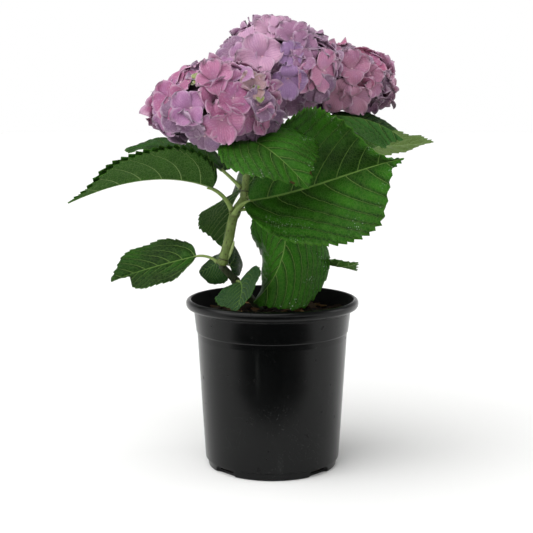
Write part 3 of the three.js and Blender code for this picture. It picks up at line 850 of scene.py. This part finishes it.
floretForm = {
    # clear is the angle kept free round a front floret; the spiral's florets end at lowest and take the low
    # tone from under; front florets up to small sit prouder, and up to bud they take no room
    "count": 104, "clear": 0.37, "lowest": -0.70, "under": -0.35, "overlap": 0.93,
    "seat": 0.81, "seatSwing": 0.07, "frontSeat": 0.85, "smallSeat": 0.87, "small": 0.6, "bud": 0.5,
    "length": 19.0, "width": 25.0, "rows": 6, "columns": 6, "thickness": 0.5, "tilt": 0.55, "frontTilt": 0.55,
    "cup": 4.2, "lift": 6.5, "droop": 7.0, "ruffle": 1.6, "pairStep": 0.9, "kinds": 9, "bead": 1.5,
    "open": (0.35, 1.85), "sizes": (0.8, 1.12), "hubs": 14, "hubReach": 0.45, "hubDraw": 0.8,
    "branch": (1.9, 1.1), "stalk": (1.0, 0.6), "core": 0.75, "coreLumps": ((0.10, 4.0), (0.05, 11.0)),
}
petalTones = {
    "cloud": "8D6B9C", "vein": "6E4270", "speckle": "DCC6D4", "claw": "D8BACB", "rim": "D5C0D2",
    # the inner tones colour the mass inside each head: painted shade in the gaps between the florets
    "bead": ("C98BA6", "E3C9D4"), "inner": ("46283F", "454030"),
}


def spiral(count, turnBy):
    golden = pi * (3 - sqrt(5))
    for i in range(count):
        z = 1 - 2 * (i + 0.5) / count
        r = sqrt(1 - z * z)
        yield i, np.array((r * cos(i * golden + turnBy), r * sin(i * golden + turnBy), z))


def sepalSheet(kind):
    # One cupped, ruffled sepal along +X with its claw at the origin, and its map from claw to tip.
    f = floretForm
    points, pairs = [], []
    pointed = 0.5 + 0.5 * swing(kind, 5)
    for i in range(f["rows"] + 1):
        s = sin(pi / 2 * i / f["rows"])
        wide = 0.12 + 0.88 * sin(pi / 2 * min(1, s / 0.62)) ** 0.85
        half = f["width"] / 2 * wide * sqrt(max(0, 1 - (0.985 * s) ** (3.4 - pointed)))
        for j in range(f["columns"] + 1):
            t = 2 * j / f["columns"] - 1
            x = f["length"] * (s * (1 - 0.07 * t * t * s) + 0.04 * pointed * bell(t, 0, 0.3) * s ** 6)
            z = f["lift"] * s ** 0.8 - f["droop"] * (0.8 + 0.5 * swing(kind, 4)) * s ** 3
            z += f["cup"] * t * t * s * (0.7 + 0.6 * chance(kind, 3)) * (1 - 0.5 * s)
            ripple = sin(2 * pi * (0.75 * t + 0.5 * s + chance(kind, 6)))
            z += f["ruffle"] * ripple * s * s * (0.4 + abs(t))
            points.append((x, half * t, z))
            pairs.append((s, t * 0.5 + 0.5))
    return np.array(points), pairs


sepalKinds = [sepalSheet(kind) for kind in range(floretForm["kinds"])]
sepalSkin = sheetFaces(floretForm["rows"], floretForm["columns"] + 1)[0]


def addFloret(heap, seat, normal, spin, size, finish, number):
    # Two outer and two inner sepals round a closed bead.
    f = floretForm
    side = unit(np.cross((0, 0, 1), normal))
    up = np.cross(normal, side)
    openness = lerp(*f["open"], chance(number, 12))
    for k in range(4):
        angle = spin + pi / 2 * k + 0.14 * swing(number * 4 + k, 7)
        grid, pairs = sepalKinds[(number * 3 + k) % f["kinds"]]
        x = cos(angle) * side + sin(angle) * up
        y = -sin(angle) * side + cos(angle) * up
        stretch = size * (0.92 + 0.16 * chance(number * 4 + k, 8))
        rise = size * (openness + 0.5 * swing(number * 4 + k, 9))
        placed = (seat + normal * (f["pairStep"] * (k % 2)) + np.outer(grid[:, 0] * stretch, x)
                  + np.outer(grid[:, 1] * stretch, y) + np.outer(grid[:, 2] * rise, normal))
        half = normal * f["thickness"] / 2
        heap.add(np.concatenate([placed + half, placed - half]), sepalSkin, finish, {"petalMap": pairs * 2})
    radius = f["bead"] * min(1, size)
    centres = [seat + normal * radius * h for h in (-0.6, 0.2, 0.9, 1.35, 1.5)]
    radii = [radius * r for r in (0.7, 0.95, 0.9, 0.6, 0.2)]
    points, faces = tube(centres, lambda i, out: radii[i], 8)
    heap.add(points, faces, 0, {"petalMap": [(0, 0.5)] * len(points)})


def inHead(point, other, share):
    away = (point - np.array(other["centre"])) / (np.array(other["reach"]) * share)
    return np.dot(away, away) < 1


def peaked(direction, crown):
    # Draws the shoulders of the upper half in, so that the head rises to a crown.
    right, above = abs(direction[0]), max(0, direction[2])
    across = hypot(right, above)
    if across < 0.01:
        return direction
    wide = (right ** crown + above ** crown) ** (1 / crown) / across
    return direction / (1 + (wide - 1) * across)


def growHead(key, head):
    # The front florets of the table first, then the spiral's florets wherever those leave room.
    f = floretForm
    centre, reach = np.array(head["centre"], float), np.array(head["reach"], float)
    tones = list(head["tones"])
    heap, seats, taken = Heap(), [], []

    def seatAt(direction, share):
        return centre + peaked(direction, head["crown"]) * reach * share

    def grow(seat, normal, spin, size, tone, number):
        addFloret(heap, seat, normal, spin, size, 1 + tones.index(tone), number)
        seats.append((seat, normal))

    for i, (right, above, spin, size, tone, tiltRight, tiltUp) in enumerate(head["front"]):
        direction = np.array((right, -sqrt(max(0, 1 - right * right - above * above)), above))
        normal = unit(unit(direction / reach) + np.array((tiltRight, -f["frontTilt"], tiltUp)))
        seat = seatAt(direction, f["frontSeat"] if size > f["small"] else f["smallSeat"])
        grow(seat, normal, radians(spin), size, tone, 200 + i)
        if size > f["bud"]:
            taken.append((unit(direction), f["clear"] * size))
    others = [other for otherKey, other in heads.items() if otherKey != key]
    for i, direction in spiral(f["count"], head["turn"]):
        seat = seatAt(direction, f["seat"] + f["seatSwing"] * swing(i, 11))
        crowded = any(np.dot(direction, other) > cos(clear) for other, clear in taken)
        inside = any(inHead(seat, other, f["overlap"]) for other in others)
        if direction[2] < f["lowest"] or crowded or inside:
            continue
        tilt = f["tilt"] * np.array((swing(i, 1), swing(i, 2), swing(i, 3) + 0.25))
        tone = head["dealt"][int(chance(i, 31 + head["turn"]) * len(head["dealt"]))]
        if direction[2] < f["under"]:
            tone = head["low"]
        size = head["scale"] * lerp(*f["sizes"], chance(i, 5))
        grow(seat, unit(unit(direction / reach) + tilt), 2 * pi * chance(i, head["turn"]), size, tone, i)
    finishes = [beadFinish] + [petalFinish(key[6:] + "_" + tone, head["tones"][tone]) for tone in tones]
    dress(heap.make("petals_" + key[6:], finishes), head["slot"], key)
    growStalks(key, head, centre, reach, seats)


def rod(heap, start, middle, end, thick, thin):
    shares = np.linspace(0, 1, 6)
    centres = [(1 - s) ** 2 * start + 2 * s * (1 - s) * middle + s * s * end for s in shares]
    points, faces = tube(centres, lambda i, out: lerp(thick, thin, shares[i]), 6)
    heap.add(points, faces, 0, {"bladeMap": [(0, 0)] * len(points), "marginMap": [(0, 0.5)] * len(points)})


def growStalks(key, head, centre, reach, seats):
    # Thin stalks gather the florets to the bough's end, round an inner mass painted dark as the shade between
    # the florets.
    f = floretForm
    limb = limbs[head["bough"]]
    root, heap = limb.at(1), Heap()
    hubs = [root + (centre + d * reach * f["hubReach"] - root) * f["hubDraw"]
            for _, d in spiral(f["hubs"], 0.7) if d[2] > -0.5]
    for hub in hubs:
        rod(heap, root - limb.tangent(1) * 3, (root + hub) / 2 + np.array((0, 0, 2)), hub, *f["branch"])
    for seat, normal in seats:
        hub = min(hubs, key=lambda h: np.linalg.norm(h - seat))
        rod(heap, hub, (hub + seat) / 2 - normal * 2, seat, *f["stalk"])
    dress(heap.make("flowerStalks_" + key[6:], [leafStalk]), "green_stem")
    deselectAll()
    bpy.ops.mesh.primitive_ico_sphere_add(subdivisions=4, radius=1, location=(0, 0, 0))
    core = bpy.context.object
    core.name = "innerShadeMass_" + key[6:]
    for vertex in core.data.vertices:
        direction = np.array(vertex.co)
        lump = 1 + sum(deep * noise.noise(Vector(direction * scale)) for deep, scale in f["coreLumps"])
        vertex.co = Vector((centre + direction * reach * f["core"] * lump) * mm)
    core.data.shade_smooth()
    wear(core, innerShadeFinish)
    dress(core, head["slot"])


def petalFinish(name, tone):
    finish = Finish("petals_" + name, Roughness=0.6, Specular_IOR_Level=0.25, Sheen_Weight=0.15)
    s, t = finish.mapParts("petalMap")
    veins = ((t - 0.5) / (s * 0.55 + 0.35) * 42 + finish.noise(120, 2) * 3).sine().ramp(0.55, 1.0)
    veins = veins * s.ramp(0.05, 0.3) * s.ramp(1.0, 0.75)
    rim = s.ramp(0.78, 1.0).most((t - 0.5).size().ramp(0.38, 0.5) * s.ramp(0.2, 0.5))
    colour = finish.coats(
        tone, (finish.noise(70, 3).ramp(0.4, 0.75) * 0.3, petalTones["cloud"]),
        (veins * 0.24, petalTones["vein"]),
        (finish.noise(650, 2).ramp(0.5, 0.7) * 0.16, petalTones["speckle"]),
        (s.ramp(0.3, 0.0) * 0.3, petalTones["claw"]), (rim * 0.4, petalTones["rim"]))
    return finish.paint(colour, 0.52 + veins * 0.12, veins * 0.5 + finish.noise(420, 3) * 0.5, 0.0005, 0.6)


def mottledFinish(name, tones, scale, roughness):
    finish = Finish(name, Roughness=roughness, Specular_IOR_Level=0.3)
    mottle = finish.noise(scale, 3)
    colour = finish.coats(tones[0], (mottle.ramp(0.3, 0.7), tones[1]))
    return finish.paint(colour, mottle * 0.2 + roughness - 0.1, mottle, 0.0006, 0.6)


beadFinish = mottledFinish("floretBead", petalTones["bead"], 900, 0.4)
# the inner mass is painted dark: painted shade between the florets
innerShadeFinish = mottledFinish("innerShadeMass", petalTones["inner"], 160, 0.8)
for headName, headTable in heads.items():
    growHead(headName, headTable)
print("flower heads")

potForm = {
    "sides": 160,
    # radius and height of each turn of the outside, the rim and the inside
    "profile": (
        (60.6, 0), (62.0, 0.5), (62.3, 3.0), (62.9, 6.6), (63.4, 7.1), (64.6, 7.7), (64.75, 9),
        (67.0, 45), (69.4, 87), (71.9, 129.6), (72.1, 130.3), (72.75, 130.9), (72.9, 131.6),
        (73.2, 134), (74.9, 149.2), (75.2, 150.3), (75.9, 150.8), (76.6, 151.5), (79.0, 152.6),
        (81.2, 153.9), (82.2, 155.6), (82.5, 157.6), (82.4, 159.2), (81.7, 160.6), (80.4, 161.5),
        (79.0, 161.8), (77.8, 161.3), (76.9, 159.9), (76.0, 156.4), (74.6, 152.6), (73.5, 150.4),
        (73.1, 147), (69.1, 87), (63.2, 12.2), (61.0, 6.5), (59.0, 2.4),
    ),
    "drainAngles": (-134, -46, 46, 134), "drainDepth": 10, "drainWidth": 27,
    "drainHeight": 6.0, "drainRound": 4.5, "sharp": 32,
    # the rim inside is rougher, where radius - slope * height lies under the line (in metres)
    "insideLine": (0.3, 0.0293),
    "black": "040505", "dust": "6A6E6B", "grey": "0B0C0C", "stain": "020202",
}


def growRings(profile):
    # Grows the selected bottom face up through rings of radius and height.
    radius, height = profile[0]
    for nextRadius, nextHeight in profile[1:]:
        bpy.ops.mesh.extrude_region_move(TRANSFORM_OT_translate={"value": (0, 0, (nextHeight - height) * mm)})
        bpy.ops.transform.resize(value=(nextRadius / radius, nextRadius / radius, 1),
                                 center_override=(0, 0, nextHeight * mm))
        radius, height = nextRadius, nextHeight


def startDisc(name, sides, radius, height):
    deselectAll()
    bpy.ops.mesh.primitive_circle_add(vertices=sides, radius=radius * mm, fill_type="NGON",
                                      location=(0, 0, height * mm))
    piece = bpy.context.object
    piece.name = name
    bpy.ops.object.transform_apply(location=True, rotation=True, scale=True)
    bpy.ops.object.mode_set(mode="EDIT")
    bpy.ops.mesh.select_all(action="SELECT")
    bpy.ops.mesh.flip_normals()
    return piece


def outwards():
    bpy.ops.mesh.select_all(action="SELECT")
    bpy.ops.mesh.normals_make_consistent(inside=False)
    bpy.ops.object.mode_set(mode="OBJECT")


def makePot():
    p = potForm
    piece = startDisc("blackPot", p["sides"], *p["profile"][0])
    growRings(p["profile"])
    outwards()
    for angle in p["drainAngles"]:
        turn = radians(angle - 90)
        middle = p["profile"][1][0] + 1
        deselectAll()
        bpy.ops.mesh.primitive_cube_add(size=1, rotation=(0, 0, turn), location=(
            middle * cos(turn) * mm, middle * sin(turn) * mm, 0))
        cutter = bpy.context.object
        cutter.scale = (p["drainDepth"] * mm, p["drainWidth"] * mm, 2 * p["drainHeight"] * mm)
        bpy.ops.object.transform_apply(location=True, rotation=True, scale=True)
        applyModifier(cutter, "BEVEL", width=p["drainRound"] * mm, segments=3)
        applyModifier(piece, "BOOLEAN", object=cutter, operation="DIFFERENCE", solver="EXACT")
        bpy.data.objects.remove(cutter)
    sharpen(piece, p["sharp"])
    wear(piece, potFinish())
    dress(piece, "pot", "pot")


def potFinish():
    p = potForm
    finish = Finish("blackPlastic", Roughness=0.2, Specular_IOR_Level=0.22)
    cloud = finish.noise(22, 4, 0.6)
    smear = finish.noise(60, 4, 0.6, (1, 1, 0.12))
    speck = finish.cells(430, "F1").ramp(0.19, 0.08) * finish.noise(26, 2).ramp(0.46, 0.64)
    stain = finish.noise(130, 2).ramp(0.70, 0.74)
    colour = finish.coats(p["black"], (cloud.ramp(0.3, 0.7) * 0.5, p["grey"]), (speck * 0.3, p["dust"]),
                          (smear.ramp(0.58, 0.85) * 0.06, p["dust"]), (stain, p["stain"]))
    where = finish.node("SeparateXYZ", None, {0: finish.place()})
    x, y, z = (finish.out(where, part) for part in range(3))
    slope, line = p["insideLine"]
    inside = ((x * x + y * y).sum("POWER", 0.5) - z * slope).ramp(line + 0.0006, line - 0.0002)
    rough = 0.14 + cloud * 0.1 + smear * 0.08 + stain * 0.4 + inside * 0.7
    height = finish.noise(1400, 2) * 0.3 + smear * 0.3
    return finish.paint(colour, rough, height, 0.0002, 0.3)


makePot()
print("pot")

soilForm = {
    "sides": 96, "bottom": (57.4, 2.7), "walls": ((60.3, 7.7), (62.3, 14), (71.3, 144.4)),
    "top": 147.0, "fall": 2.6, "rings": 16, "lump": 2.0,
    "brown": "30231A", "black": "130E09", "tan": "6E5236", "straw": "9C7850",
}
chipForm = {
    "count": 620, "sides": 8, "spread": 69.5, "sizes": (2.2, 9.7), "clear": 5, "lifts": (0.5, 1.5),
    "widths": (0.3, 0.65), "thicknesses": (0.5, 1.4), "bend": 0.12, "sharp": 35, "largeLift": 2.5,
    # the largest flakes: place, size, tint
    "large": ((52, -2, 13, 0.55), (40, 22, 12, 0.75), (59, 12, 10, 0.6), (30, 42, 12, 0.5),
              (48, 34, 9, 0.95)),
}


def soilHeight(x, y):
    r = hypot(x, y) / soilForm["walls"][-1][0]
    lump = noise.noise(Vector((x * 0.09, y * 0.09, 3.1)))
    lump += 0.5 * noise.noise(Vector((x * 0.27, y * 0.27, 8.4)))
    return soilForm["top"] - soilForm["fall"] * r * r + soilForm["lump"] * lump * (1 - 0.7 * r ** 6)


def makeSoil():
    s = soilForm
    piece = startDisc("barkCompost", s["sides"], *s["bottom"])
    growRings((s["bottom"],) + s["walls"])
    edgeRadius, edgeHeight = s["walls"][-1]
    for ring in range(s["rings"]):
        bpy.ops.mesh.inset(thickness=edgeRadius / (s["rings"] + 1) * mm)
    bpy.ops.mesh.poke()
    outwards()
    for vertex in piece.data.vertices:
        x, y, z = (c / mm for c in vertex.co)
        if z > edgeHeight - 1:
            vertex.co.z = soilHeight(x, y) * mm
    piece.data.shade_smooth()
    wear(piece, soilFinish("compost", 90))
    dress(piece, "bark_compost", "soil")


def makeChips():
    # Flakes of bark lie over the compost, each a bent eight-sided slip.
    c, heap, sides = chipForm, Heap(), chipForm["sides"]
    foot = limbs["trunk"].at(0.1)
    faces = ([tuple(reversed(range(sides))), tuple(sides + k for k in range(sides))]
             + [(k, (k + 1) % sides, sides + (k + 1) % sides, sides + k) for k in range(sides)])
    for i in range(c["count"]):
        r, turn = c["spread"] * sqrt(chance(i, 1)), 2 * pi * chance(i, 2)
        x, y = r * cos(turn), r * sin(turn)
        size = lerp(*c["sizes"], chance(i, 3) ** 2.2)
        tint = chance(i, 12) ** 1.6
        lift = lerp(*c["lifts"], chance(i, 8))
        if i < len(c["large"]):
            x, y, size, tint = c["large"][i]
            r, lift = hypot(x, y), c["largeLift"]
        if r > c["spread"] - size * 0.7 or hypot(x - foot[0], y - foot[1]) < c["clear"] + size * 0.5:
            continue
        yaw, lean, roll = 2 * pi * chance(i, 4), 0.4 * swing(i, 5), 0.5 * swing(i, 6)
        along = np.array((cos(yaw), sin(yaw), lean))
        across = unit(np.cross((0.1 * swing(i, 7), roll, 1), along))
        along = unit(along)
        normal = np.cross(along, across)
        centre = np.array((x, y, soilHeight(x, y) + lift))
        width, thick = size * lerp(*c["widths"], chance(i, 9)), lerp(*c["thicknesses"], chance(i, 10))
        points = []
        for level in (-1, 1):
            for k in range(sides):
                angle = 2 * pi * (k + 0.5) / sides
                wobble = 0.8 + 0.4 * chance(i * sides + k, 11)
                over = level * thick * (0.7 + 0.3 * wobble) + c["bend"] * size * cos(angle) ** 2
                points.append(centre + along * size * cos(angle) * wobble
                              + across * width * sin(angle) * wobble + normal * over)
        heap.add(points, faces, values={"tint": [tint] * len(points)})
    piece = heap.make("barkChips", [soilFinish("barkFlakes", 260, True)])
    sharpen(piece, c["sharp"])
    dress(piece, "bark_compost")


def soilFinish(name, scale, chips=False):
    s = soilForm
    finish = Finish(name, Roughness=0.9, Specular_IOR_Level=0.2)
    crumb = finish.noise(scale, 5, 0.65)
    colour = finish.coats(s["black"], (crumb.ramp(0.35, 0.7), s["brown"]))
    if chips:
        tint, fibre = finish.value("tint"), finish.noise(700, 3, 0.6, (1, 0.25, 1))
        colour = finish.coats(colour, (tint.ramp(0.5, 1.0) * 0.7, s["tan"]),
                              (tint.ramp(0.9, 0.98) * 0.8, s["straw"]),
                              (fibre.ramp(0.5, 0.75) * 0.45, s["black"]))
    height = crumb + finish.noise(1100, 3) * 0.5
    return finish.paint(colour, 0.8 + crumb * 0.18, height, 0.0015, 1.0)


makeSoil()
makeChips()
print("compost")
